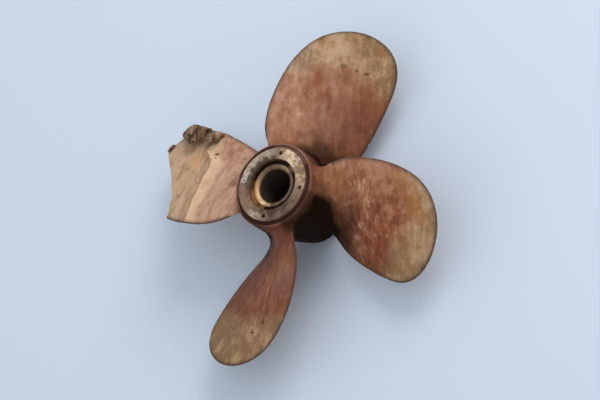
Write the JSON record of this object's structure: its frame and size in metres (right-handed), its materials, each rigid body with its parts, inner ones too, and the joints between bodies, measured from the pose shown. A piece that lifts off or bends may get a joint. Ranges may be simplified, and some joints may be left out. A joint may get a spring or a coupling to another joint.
{
  "type": "ship propeller",
  "caption": "Right-handed fixed-pitch ship propeller cast in bronze, with wide round-tipped blades on a bored hub; one blade tip is bent and torn.",
  "frame": {"origin": "centre of the flat end face of the hub's small end, on the shaft's axis", "axes": "+Z along the shaft's axis towards the hub's large end; +X and +Y lie midway between blades"},
  "size_m": [1.0076, 1.0032, 0.3273],
  "materials": {
    "cast_bronze": "weathered",
    "ring_bronze": "dull",
    "bright_bronze": "machined",
    "screw_steel": "dull"
  },
  "bodies": {
    "root": {"propeller_casting": "cast_bronze", "end_ring": "ring_bronze", "seal_collar": "bright_bronze", "left_in_screw": "screw_steel"}
  },
  "joints": []
}
